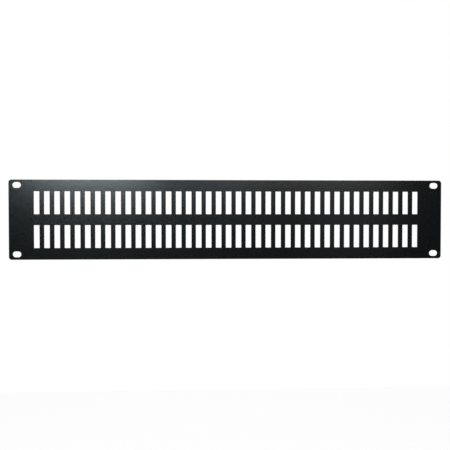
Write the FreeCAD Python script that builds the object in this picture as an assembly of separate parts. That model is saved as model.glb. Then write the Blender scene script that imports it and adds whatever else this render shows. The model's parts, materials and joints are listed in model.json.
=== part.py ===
import FreeCAD, Part
import math
import os

# Vented blanking panel, two rack units high: one flat steel sheet, blanked to its outline and
# punched through with four bolt slots and rows of upright vent slots.
# X runs across the rack and Z runs up. The rear face seats on the rack posts in the plane Y = 0,
# the front face looks towards -Y, and the origin is the centre of the bolt slots on the rear face.
# All sizes are in millimetres.

# The sheet: 19 in wide, 16 gauge
panel_width = 482.6
panel_height = 88.1
sheet_thickness = 1.52
outline_corner_radius = 3.175

# Bolt slots, longer across than up, placed from the outline to their centres
bolt_slot_length = 9.6
bolt_slot_width = 6.6
bolt_inset_x = 8.75
bolt_inset_z = 5.95

# Vent slots: 1/4 in by 1 in with square corners, and 3/16 in bars between them
vent_width = 6.35
vent_height = 25.4
vent_bar = 4.7625
vent_row_land = 11.9

# Plain steel that the vents always leave: beside the bolt slots, and along the top and bottom
least_ear_land = 11.5
least_edge_land = 5.0


def round_cornered(width, height, radius, centre_x=0.0, centre_z=0.0):
    """Closed wire in the plane Y = 0: a rectangle about its centre, with quarter circles for corners."""
    radius = min(radius, width / 2, height / 2)
    reach_x = width / 2 - radius
    reach_z = height / 2 - radius
    corners = ((1, -1), (1, 1), (-1, 1), (-1, -1))
    arcs = []
    for quarter, (side_x, side_z) in enumerate(corners):
        points = []
        for step in (0, 45, 90):
            angle = math.radians(90 * (quarter - 1) + step)
            x = centre_x + side_x * reach_x + radius * math.cos(angle)
            z = centre_z + side_z * reach_z + radius * math.sin(angle)
            points.append(FreeCAD.Vector(x, 0, z))
        arcs.append(points)
    edges = []
    for points, following in zip(arcs, arcs[1:] + arcs[:1]):
        edges.append(Part.Arc(*points).toShape())
        if not points[-1].isEqual(following[0], Part.Precision.confusion()):
            edges.append(Part.makeLine(points[-1], following[0]))
    return Part.Wire(edges)


def square_cornered(width, height, centre_x, centre_z):
    """Closed wire in the plane Y = 0: a rectangle about its centre."""
    left = centre_x - width / 2
    bottom = centre_z - height / 2
    corners = ((left, bottom), (left + width, bottom), (left + width, bottom + height), (left, bottom + height))
    return Part.makePolygon([FreeCAD.Vector(x, 0, z) for x, z in corners + corners[:1]])


def spread(count, pitch):
    """Places of count things, pitch apart, centred on zero."""
    return [(index - (count - 1) / 2) * pitch for index in range(count)]


def how_many(room, size, gap):
    """How many things of this size, with this gap between neighbours, fit in the room."""
    return max(0, math.floor((room + gap) / (size + gap)))


def bolt_slots():
    """One obround at each corner of the panel."""
    spacing_x = panel_width - 2 * bolt_inset_x
    spacing_z = panel_height - 2 * bolt_inset_z
    outlines = []
    for x in spread(2, spacing_x):
        for z in spread(2, spacing_z):
            outlines.append(round_cornered(bolt_slot_length, bolt_slot_width, bolt_slot_width / 2, x, z))
    return outlines


def vent_slots():
    """As many columns and rows as the plain steel round them leaves room for, centred on the panel."""
    ear = bolt_inset_x + bolt_slot_length / 2 + least_ear_land
    columns = how_many(panel_width - 2 * ear, vent_width, vent_bar)
    rows = how_many(panel_height - 2 * least_edge_land, vent_height, vent_row_land)
    outlines = []
    for x in spread(columns, vent_width + vent_bar):
        for z in spread(rows, vent_height + vent_row_land):
            outlines.append(square_cornered(vent_width, vent_height, x, z))
    return outlines


def vent_panel():
    """The punched sheet as one solid."""
    outline = round_cornered(panel_width, panel_height, outline_corner_radius)
    blank = Part.makeFace([outline] + bolt_slots() + vent_slots(), "Part::FaceMakerBullseye")
    return blank.extrude(FreeCAD.Vector(0, -sheet_thickness, 0))


os.makedirs("parts", exist_ok=True)
vent_panel().exportStep("parts/vent_panel.step")
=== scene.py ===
import json
import math

import bmesh
import bpy
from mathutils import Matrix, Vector


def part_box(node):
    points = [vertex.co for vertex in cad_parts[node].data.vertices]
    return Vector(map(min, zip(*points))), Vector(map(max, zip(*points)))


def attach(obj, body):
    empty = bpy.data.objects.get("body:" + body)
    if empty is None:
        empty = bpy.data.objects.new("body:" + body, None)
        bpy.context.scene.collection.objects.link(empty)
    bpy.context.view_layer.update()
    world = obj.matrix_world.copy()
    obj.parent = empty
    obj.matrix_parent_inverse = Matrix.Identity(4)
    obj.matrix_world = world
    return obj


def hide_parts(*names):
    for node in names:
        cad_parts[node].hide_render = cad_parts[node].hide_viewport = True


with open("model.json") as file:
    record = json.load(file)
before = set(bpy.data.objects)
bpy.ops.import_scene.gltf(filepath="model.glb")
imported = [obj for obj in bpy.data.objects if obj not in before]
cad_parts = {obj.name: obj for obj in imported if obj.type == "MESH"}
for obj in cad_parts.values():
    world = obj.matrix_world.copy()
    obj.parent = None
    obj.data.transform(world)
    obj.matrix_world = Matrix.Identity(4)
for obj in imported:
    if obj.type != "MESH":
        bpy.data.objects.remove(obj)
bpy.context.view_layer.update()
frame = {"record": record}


# ---- The coated panel ----------------------------------------------------------------------------
# One sheet of 16 gauge steel, blanked to its outline and punched with four bolt slots and two rows
# of upright vents. The press rolls its cut edges over a little, front and back. The whole sheet is
# then powder coated black, which narrows every opening by the coat on its walls.

panel_low, panel_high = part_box("vent_panel")
panel_size = panel_high - panel_low
panel_middle = (panel_low + panel_high) / 2
rack_holes = next(mount["dims"] for mount in frame["record"]["mounts"] if mount["name"] == "rack_holes")

coat_thickness = 0.0001
outline_corner_radius = 0.003175
outline_corner_flats = 8

bolt_slot_radius = rack_holes["hole_r_mm"] / 1000 - coat_thickness
bolt_slot_length = rack_holes["slot_length_mm"] / 1000 - 2 * coat_thickness
bolt_slot_corner_flats = 8
bolt_spacing_x = rack_holes["spacing_x_mm"] / 1000
bolt_spacing_z = rack_holes["spacing_y_mm"] / 1000

vent_columns = 39
vent_rows = 2
vent_width = 0.00635 - 2 * coat_thickness
vent_height = 0.0254 - 2 * coat_thickness
vent_pitch_x = 0.0111125
vent_pitch_z = 0.0373
vent_corner_radius = 0.0003
vent_corner_flats = 2

rolled_edge_radius = 0.0002
rolled_edge_flats = 2
rolled_edge_angle = math.radians(60)
smooth_angle = math.radians(50)
flat_face_normal = 0.99
place_tolerance = 0.00001


def spread(count, pitch):
    """Places of count things, pitch apart, centred on zero."""
    return [(index - (count - 1) / 2) * pitch for index in range(count)]


vent_places_x = spread(vent_columns, vent_pitch_x)
vent_places_z = spread(vent_rows, vent_pitch_z)
bolt_places = [(x, z) for x in spread(2, bolt_spacing_x) for z in spread(2, bolt_spacing_z)]

# each bolt slot has a cell of its own: outwards from the ear line, and above or below all the vents
ear_line = bolt_spacing_x / 2 - bolt_slot_length
vent_ends = vent_places_z[-1] + vent_height / 2


def start_edit(piece):
    """Edit mode on this piece alone."""
    bpy.ops.object.select_all(action="DESELECT")
    piece.select_set(True)
    bpy.context.view_layer.objects.active = piece
    bpy.ops.object.mode_set(mode="EDIT")


def select_only(piece, kind, wanted):
    """In edit mode, selects those of the verts, edges or faces that are wanted, and nothing else."""
    bpy.ops.mesh.select_mode(type={"verts": "VERT", "edges": "EDGE", "faces": "FACE"}[kind])
    bpy.ops.mesh.select_all(action="DESELECT")
    mesh = bmesh.from_edit_mesh(piece.data)
    for element in getattr(mesh, kind):
        if wanted(element):
            element.select_set(True)
    bmesh.update_edit_mesh(piece.data)


def same_place(one, other):
    """Whether two places along an axis are one."""
    return abs(one - other) < place_tolerance


def inside_a_vent(face):
    """Whether this face is steel that a vent takes away."""
    centre = face.calc_center_median()
    beside = any(abs(centre.x - x) < vent_width / 2 for x in vent_places_x)
    level = any(abs(centre.z - z) < vent_height / 2 for z in vent_places_z)
    return beside and level


def through_a_vent_corner(edge):
    """Whether this edge runs through the sheet at a corner of a vent."""
    one, other = (vert.co for vert in edge.verts)
    straight_through = same_place(one.x, other.x) and same_place(one.z, other.z)
    beside = any(same_place(abs(one.x - x), vent_width / 2) for x in vent_places_x)
    level = any(same_place(abs(one.z - z), vent_height / 2) for z in vent_places_z)
    return straight_through and beside and level


def in_cell_of(bolt_x, bolt_z):
    """Test for an edge or face: whether it lies in the cell of this bolt slot, the border included."""
    def in_cell(element):
        return all(vert.co.x * math.copysign(1, bolt_x) > ear_line - place_tolerance
                   and vert.co.z * math.copysign(1, bolt_z) > vent_ends - place_tolerance
                   for vert in element.verts)
    return in_cell


# the front face of the blank, with its corners rounded
bpy.ops.object.select_all(action="DESELECT")
bpy.ops.mesh.primitive_plane_add(size=1, location=(panel_middle.x, panel_low.y, panel_middle.z),
                                 rotation=(math.radians(90), 0, 0))
panel = bpy.context.object
panel.name = "coated_panel"
bpy.ops.transform.resize(value=(panel_size.x, 1, panel_size.z))
bpy.ops.object.transform_apply(location=True, rotation=True, scale=True)
start_edit(panel)
bpy.ops.mesh.select_mode(type="VERT")
bpy.ops.mesh.select_all(action="SELECT")
bpy.ops.mesh.bevel(offset=outline_corner_radius, segments=outline_corner_flats, affect="VERTICES")

# score lines along all four sides of the vents and along the ear lines, and the vents knocked out
score_lines = [((x + side * vent_width / 2, 0, 0), (1, 0, 0)) for x in vent_places_x for side in (-1, 1)]
score_lines += [((0, 0, z + side * vent_height / 2), (0, 0, 1)) for z in vent_places_z for side in (-1, 1)]
score_lines += [((side * ear_line, 0, 0), (1, 0, 0)) for side in (-1, 1)]
for place, across in score_lines:
    bpy.ops.mesh.select_all(action="SELECT")
    bpy.ops.mesh.bisect(plane_co=place, plane_no=across)
select_only(panel, "faces", inside_a_vent)
bpy.ops.mesh.delete(type="FACE")

# each bolt slot is a rectangle with its corners rounded until it is an obround, and the rest of its
# cell is filled in round it
for bolt_x, bolt_z in bolt_places:
    select_only(panel, "faces", in_cell_of(bolt_x, bolt_z))
    bpy.ops.mesh.delete(type="ONLY_FACE")
    bpy.ops.mesh.select_mode(type="VERT")
    bpy.ops.mesh.primitive_plane_add(size=1, location=(bolt_x, panel_low.y, bolt_z),
                                     rotation=(math.radians(90), 0, 0))
    bpy.ops.transform.resize(value=(bolt_slot_length, 1, 2 * bolt_slot_radius))
    bpy.ops.mesh.bevel(offset=bolt_slot_radius, segments=bolt_slot_corner_flats, affect="VERTICES")
    bpy.ops.mesh.remove_doubles(threshold=place_tolerance)
    bpy.ops.mesh.delete(type="ONLY_FACE")
    select_only(panel, "edges", in_cell_of(bolt_x, bolt_z))
    bpy.ops.mesh.fill()
select_only(panel, "faces", lambda face: face.normal.y > 0)
bpy.ops.mesh.flip_normals()
bpy.ops.object.mode_set(mode="OBJECT")

# the sheet's thickness goes backwards from the front face
bpy.ops.object.modifier_add(type="SOLIDIFY")
sheet = panel.modifiers["Solidify"]
sheet.thickness = panel_size.y
sheet.offset = -1
bpy.ops.object.modifier_apply(modifier="Solidify")

# the small round in each corner of the vents
start_edit(panel)
select_only(panel, "edges", through_a_vent_corner)
bpy.ops.mesh.bevel(offset=vent_corner_radius, segments=vent_corner_flats, affect="EDGES")
bpy.ops.object.mode_set(mode="OBJECT")

# the rolled edges, front and back
bpy.ops.object.modifier_add(type="BEVEL")
rolled_edge = panel.modifiers["Bevel"]
rolled_edge.width = rolled_edge_radius
rolled_edge.segments = rolled_edge_flats
rolled_edge.limit_method = "ANGLE"
rolled_edge.angle_limit = rolled_edge_angle
rolled_edge.harden_normals = True
bpy.ops.object.shade_smooth_by_angle(angle=smooth_angle)
bpy.ops.object.modifier_apply(modifier="Bevel")


# how fine the coat's unevenness is, as noise cells to a metre, and by what share it varies
peel_scale = 420
grain_scale = 2600
flow_scale = 70
gloss_share = 0.06
shade_share = 0.15


def baked_powder():
    """Group: the relief that the powder sets with, and how even its gloss and its shade come out."""
    group = bpy.data.node_groups.new("baked_powder", "ShaderNodeTree")
    group.interface.new_socket("Peel Height", in_out="INPUT", socket_type="NodeSocketFloat")
    group.interface.new_socket("Grain Height", in_out="INPUT", socket_type="NodeSocketFloat")
    group.interface.new_socket("Normal", in_out="OUTPUT", socket_type="NodeSocketVector")
    group.interface.new_socket("Gloss", in_out="OUTPUT", socket_type="NodeSocketFloat")
    group.interface.new_socket("Shade", in_out="OUTPUT", socket_type="NodeSocketFloat")
    add = group.nodes.new
    join = group.links.new
    heights = add("NodeGroupInput")
    surface = add("NodeGroupOutput")
    place = add("ShaderNodeTexCoord")

    # orange peel: shallow waves about 2 mm long
    peel = add("ShaderNodeTexNoise")
    peel.inputs["Scale"].default_value = peel_scale
    peel.inputs["Detail"].default_value = 1
    peel_relief = add("ShaderNodeBump")
    peel_relief.inputs["Strength"].default_value = 1
    join(place.outputs["Object"], peel.inputs["Vector"])
    join(peel.outputs["Fac"], peel_relief.inputs["Height"])
    join(heights.outputs["Peel Height"], peel_relief.inputs["Distance"])

    # grain: the powder's own specks, about 0.4 mm apart
    grain = add("ShaderNodeTexNoise")
    grain.inputs["Scale"].default_value = grain_scale
    grain.inputs["Detail"].default_value = 2
    grain_relief = add("ShaderNodeBump")
    grain_relief.inputs["Strength"].default_value = 1
    join(place.outputs["Object"], grain.inputs["Vector"])
    join(grain.outputs["Fac"], grain_relief.inputs["Height"])
    join(heights.outputs["Grain Height"], grain_relief.inputs["Distance"])
    join(peel_relief.outputs["Normal"], grain_relief.inputs["Normal"])
    join(grain_relief.outputs["Normal"], surface.inputs["Normal"])

    # gloss that wanders over a centimetre or two, where the coat ran thicker or thinner
    flow = add("ShaderNodeTexNoise")
    flow.inputs["Scale"].default_value = flow_scale
    flow.inputs["Detail"].default_value = 3
    gloss = add("ShaderNodeMapRange")
    gloss.inputs["To Min"].default_value = 1 - gloss_share
    gloss.inputs["To Max"].default_value = 1 + gloss_share
    join(place.outputs["Object"], flow.inputs["Vector"])
    join(flow.outputs["Fac"], gloss.inputs["Value"])
    join(gloss.outputs["Result"], surface.inputs["Gloss"])

    # shade that follows the grain, from speck to speck
    shade = add("ShaderNodeMapRange")
    shade.inputs["To Min"].default_value = 1 - shade_share
    shade.inputs["To Max"].default_value = 1 + shade_share
    join(grain.outputs["Fac"], shade.inputs["Value"])
    join(shade.outputs["Result"], surface.inputs["Shade"])
    return group


def black_coat(name, powder, black, roughness, specular, peel_height, grain_height):
    """Black powder coat of this roughness, uneven by a little in its relief, its gloss and its shade."""
    coat = bpy.data.materials.new(name)
    coat.use_nodes = True
    add = coat.node_tree.nodes.new
    join = coat.node_tree.links.new
    shader = coat.node_tree.nodes["Principled BSDF"]
    shader.inputs["Specular IOR Level"].default_value = specular
    surface = add("ShaderNodeGroup")
    surface.node_tree = powder
    surface.inputs["Peel Height"].default_value = peel_height
    surface.inputs["Grain Height"].default_value = grain_height
    satin = add("ShaderNodeMath")
    satin.operation = "MULTIPLY"
    satin.inputs[1].default_value = roughness
    tint = add("ShaderNodeVectorMath")
    tint.operation = "SCALE"
    tint.inputs[0].default_value = black
    join(surface.outputs["Gloss"], satin.inputs[0])
    join(satin.outputs["Value"], shader.inputs["Roughness"])
    join(surface.outputs["Shade"], tint.inputs["Scale"])
    join(tint.outputs["Vector"], shader.inputs["Base Color"])
    join(surface.outputs["Normal"], shader.inputs["Normal"])
    return coat


# the coat flows out satin on the two faces, and draws thin and dull over the cut edges
powder = baked_powder()
powder_black = (0.0039, 0.0045, 0.0049)
face_coat = black_coat("satin_black_coat", powder, powder_black, roughness=0.19, specular=0.5,
                       peel_height=0.00002, grain_height=0.000003)
edge_coat = black_coat("coat_on_cut_edges", powder, powder_black, roughness=0.5, specular=0.2,
                       peel_height=0.00002, grain_height=0.000006)
panel.data.materials.append(face_coat)
panel.data.materials.append(edge_coat)
start_edit(panel)
select_only(panel, "faces", lambda face: abs(face.normal.y) < flat_face_normal)
panel.active_material_index = 1
bpy.ops.object.material_slot_assign()
bpy.ops.object.mode_set(mode="OBJECT")

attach(panel, "root")
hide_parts("vent_panel")


# ---- The floor and the white paper behind --------------------------------------------------------
# The panel hangs well clear of a plain pale floor, before a roll of white paper. Neither is part of
# the object.

floor_drop = 0.9
floor_front = -2.6
paper_distance = 2.5
paper_reach = 8.0
paper_white = (0.9, 0.9, 0.9, 1)


def white_paper(name, shadow_share):
    """Pale matt paper. The eye and a mirror see it as white, less this share of the shadows on it."""
    paper = bpy.data.materials.new(name)
    paper.use_nodes = True
    paper.node_tree.nodes.clear()
    add = paper.node_tree.nodes.new
    join = paper.node_tree.links.new
    output = add("ShaderNodeOutputMaterial")
    both = add("ShaderNodeMixShader")
    matt = add("ShaderNodeBsdfDiffuse")
    matt.inputs["Color"].default_value = paper_white
    white = add("ShaderNodeEmission")
    path = add("ShaderNodeLightPath")
    eye_or_mirror = add("ShaderNodeMath")
    eye_or_mirror.operation = "MAXIMUM"
    seen = add("ShaderNodeMath")
    seen.operation = "MAXIMUM"
    white_share = add("ShaderNodeMath")
    white_share.operation = "MULTIPLY"
    white_share.inputs[1].default_value = 1 - shadow_share
    join(path.outputs["Is Camera Ray"], eye_or_mirror.inputs[0])
    join(path.outputs["Is Glossy Ray"], eye_or_mirror.inputs[1])
    join(eye_or_mirror.outputs[0], seen.inputs[0])
    join(path.outputs["Is Transmission Ray"], seen.inputs[1])
    join(seen.outputs[0], white_share.inputs[0])
    join(white_share.outputs[0], both.inputs["Fac"])
    join(matt.outputs[0], both.inputs[1])
    join(white.outputs[0], both.inputs[2])
    join(both.outputs[0], output.inputs["Surface"])
    return paper


floor_height = panel_low.z - floor_drop
bpy.ops.object.select_all(action="DESELECT")
bpy.ops.mesh.primitive_plane_add(size=paper_reach,
                                 location=(0, floor_front + paper_reach / 2, floor_height))
floor = bpy.context.object
floor.name = "floor"
floor.data.materials.append(white_paper("pale_floor", shadow_share=0.05))

bpy.ops.object.select_all(action="DESELECT")
bpy.ops.mesh.primitive_plane_add(size=paper_reach, rotation=(math.radians(90), 0, 0),
                                 location=(0, paper_distance, floor_height + paper_reach / 2))
backdrop = bpy.context.object
backdrop.name = "backdrop"
backdrop.data.materials.append(white_paper("backdrop_paper", shadow_share=0.0))


# ---- Light and camera ----------------------------------------------------------------------------
# Broad soft boxes above, behind and at both sides give the plain level of light. In front, a little
# above eye level, stand the boxes that the satin face mirrors: a cool bright one to the left, a
# long weaker one to the right, and two faint ones. The room behind them is dark.

def soft_box(name, azimuth, elevation, distance, width, height, radiance):
    """A rectangular lamp that faces the panel, with a face of this radiance in red, green and blue."""
    level = max(radiance)
    light = bpy.data.lights.new(name, "AREA")
    light.shape = "RECTANGLE"
    light.size = width
    light.size_y = height
    light.energy = math.pi * width * height * level
    light.color = [value / level for value in radiance]
    lamp = bpy.data.objects.new(name, light)
    bpy.context.scene.collection.objects.link(lamp)
    turn = math.radians(azimuth)
    rise = math.radians(elevation)
    towards = Vector((math.sin(turn) * math.cos(rise), -math.cos(turn) * math.cos(rise), math.sin(rise)))
    lamp.location = towards * distance
    lamp.rotation_euler = (-towards).to_track_quat("-Z", "Y").to_euler()
    lamp.visible_camera = False


# where each box stands as azimuth, elevation and distance, then its width and height, and its level
soft_box("overhead_box", -20, 58, 1.9, 1.4, 1.0, (6.3, 6.3, 6.3))
soft_box("rear_box", 170, 60, 1.9, 1.6, 1.2, (8.0, 8.0, 8.0))
soft_box("left_side_box", -72, 4, 2.0, 1.6, 1.4, (0.9, 0.9, 0.9))
soft_box("right_side_box", 72, 4, 2.0, 1.6, 1.4, (0.9, 0.9, 0.9))
soft_box("front_left_box", -15.9, 12.6, 1.5, 0.405, 0.36, (12.1, 14.0, 14.8))
soft_box("front_middle_box", 0.3, 12.2, 1.5, 0.26, 0.5, (0.85, 1.05, 1.3))
soft_box("front_right_box", 13.1, 11.8, 1.5, 0.6, 0.25, (3.6, 3.6, 3.3))
soft_box("right_card", 20.0, 7.9, 1.5, 0.26, 0.675, (0.28, 0.29, 0.33))


def dark_room(name, level):
    """World of this low level to the panel, and white to the eye past the edges of the paper."""
    world = bpy.data.worlds.new(name)
    world.use_nodes = True
    world.node_tree.nodes.clear()
    add = world.node_tree.nodes.new
    join = world.node_tree.links.new
    surroundings = add("ShaderNodeOutputWorld")
    walls = add("ShaderNodeBackground")
    walls.inputs["Color"].default_value = (1, 1, 1, 1)
    path = add("ShaderNodeLightPath")
    strength = add("ShaderNodeMapRange")
    strength.inputs["To Min"].default_value = level
    strength.inputs["To Max"].default_value = 1
    join(path.outputs["Is Camera Ray"], strength.inputs["Value"])
    join(strength.outputs["Result"], walls.inputs["Strength"])
    join(walls.outputs["Background"], surroundings.inputs["Surface"])
    return world


bpy.context.scene.world = dark_room("room", level=0.01)

# the camera stands a little left of the middle and above it, and looks slightly down to the right
camera_place = Vector((-0.03574, panel_low.y - 0.65607, 0.00723))
camera_aim = Vector((-0.00405, panel_low.y, -0.00603))
camera_data = bpy.data.cameras.new("camera")
camera_data.lens = 47.155
camera_data.sensor_width = 36
camera = bpy.data.objects.new("camera", camera_data)
bpy.context.scene.collection.objects.link(camera)
camera.location = camera_place
camera.rotation_euler = (camera_aim - camera_place).to_track_quat("-Z", "Y").to_euler()
bpy.context.scene.camera = camera

bpy.context.scene.view_settings.view_transform = "Standard"
